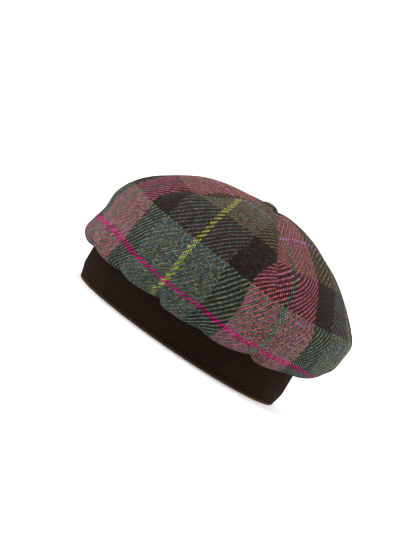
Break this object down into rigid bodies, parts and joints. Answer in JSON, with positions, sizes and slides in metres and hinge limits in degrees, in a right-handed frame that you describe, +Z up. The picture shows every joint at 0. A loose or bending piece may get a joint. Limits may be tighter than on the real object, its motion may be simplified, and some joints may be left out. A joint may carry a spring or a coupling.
{
  "type": "tweed beret",
  "caption": "Full tweed beret with a checked crown gathered onto a dark rib-knit band and a small covered button on top.",
  "frame": {"origin": "on the surface the band stands on, under the middle of the crown", "axes": "+Z up through the button, -Y the way the wearer looks, +X the wearer's left"},
  "size_m": [0.2299, 0.2485, 0.1449],
  "materials": {
    "tweed": "woven wool twill in a teal, pink, brown and dark check with magenta, yellow and lilac lines",
    "rib_knit": "matt dark brown wool rib knit"
  },
  "bodies": {
    "root": {"crown": "tweed", "button": "tweed", "band": "rib_knit"}
  },
  "joints": []
}
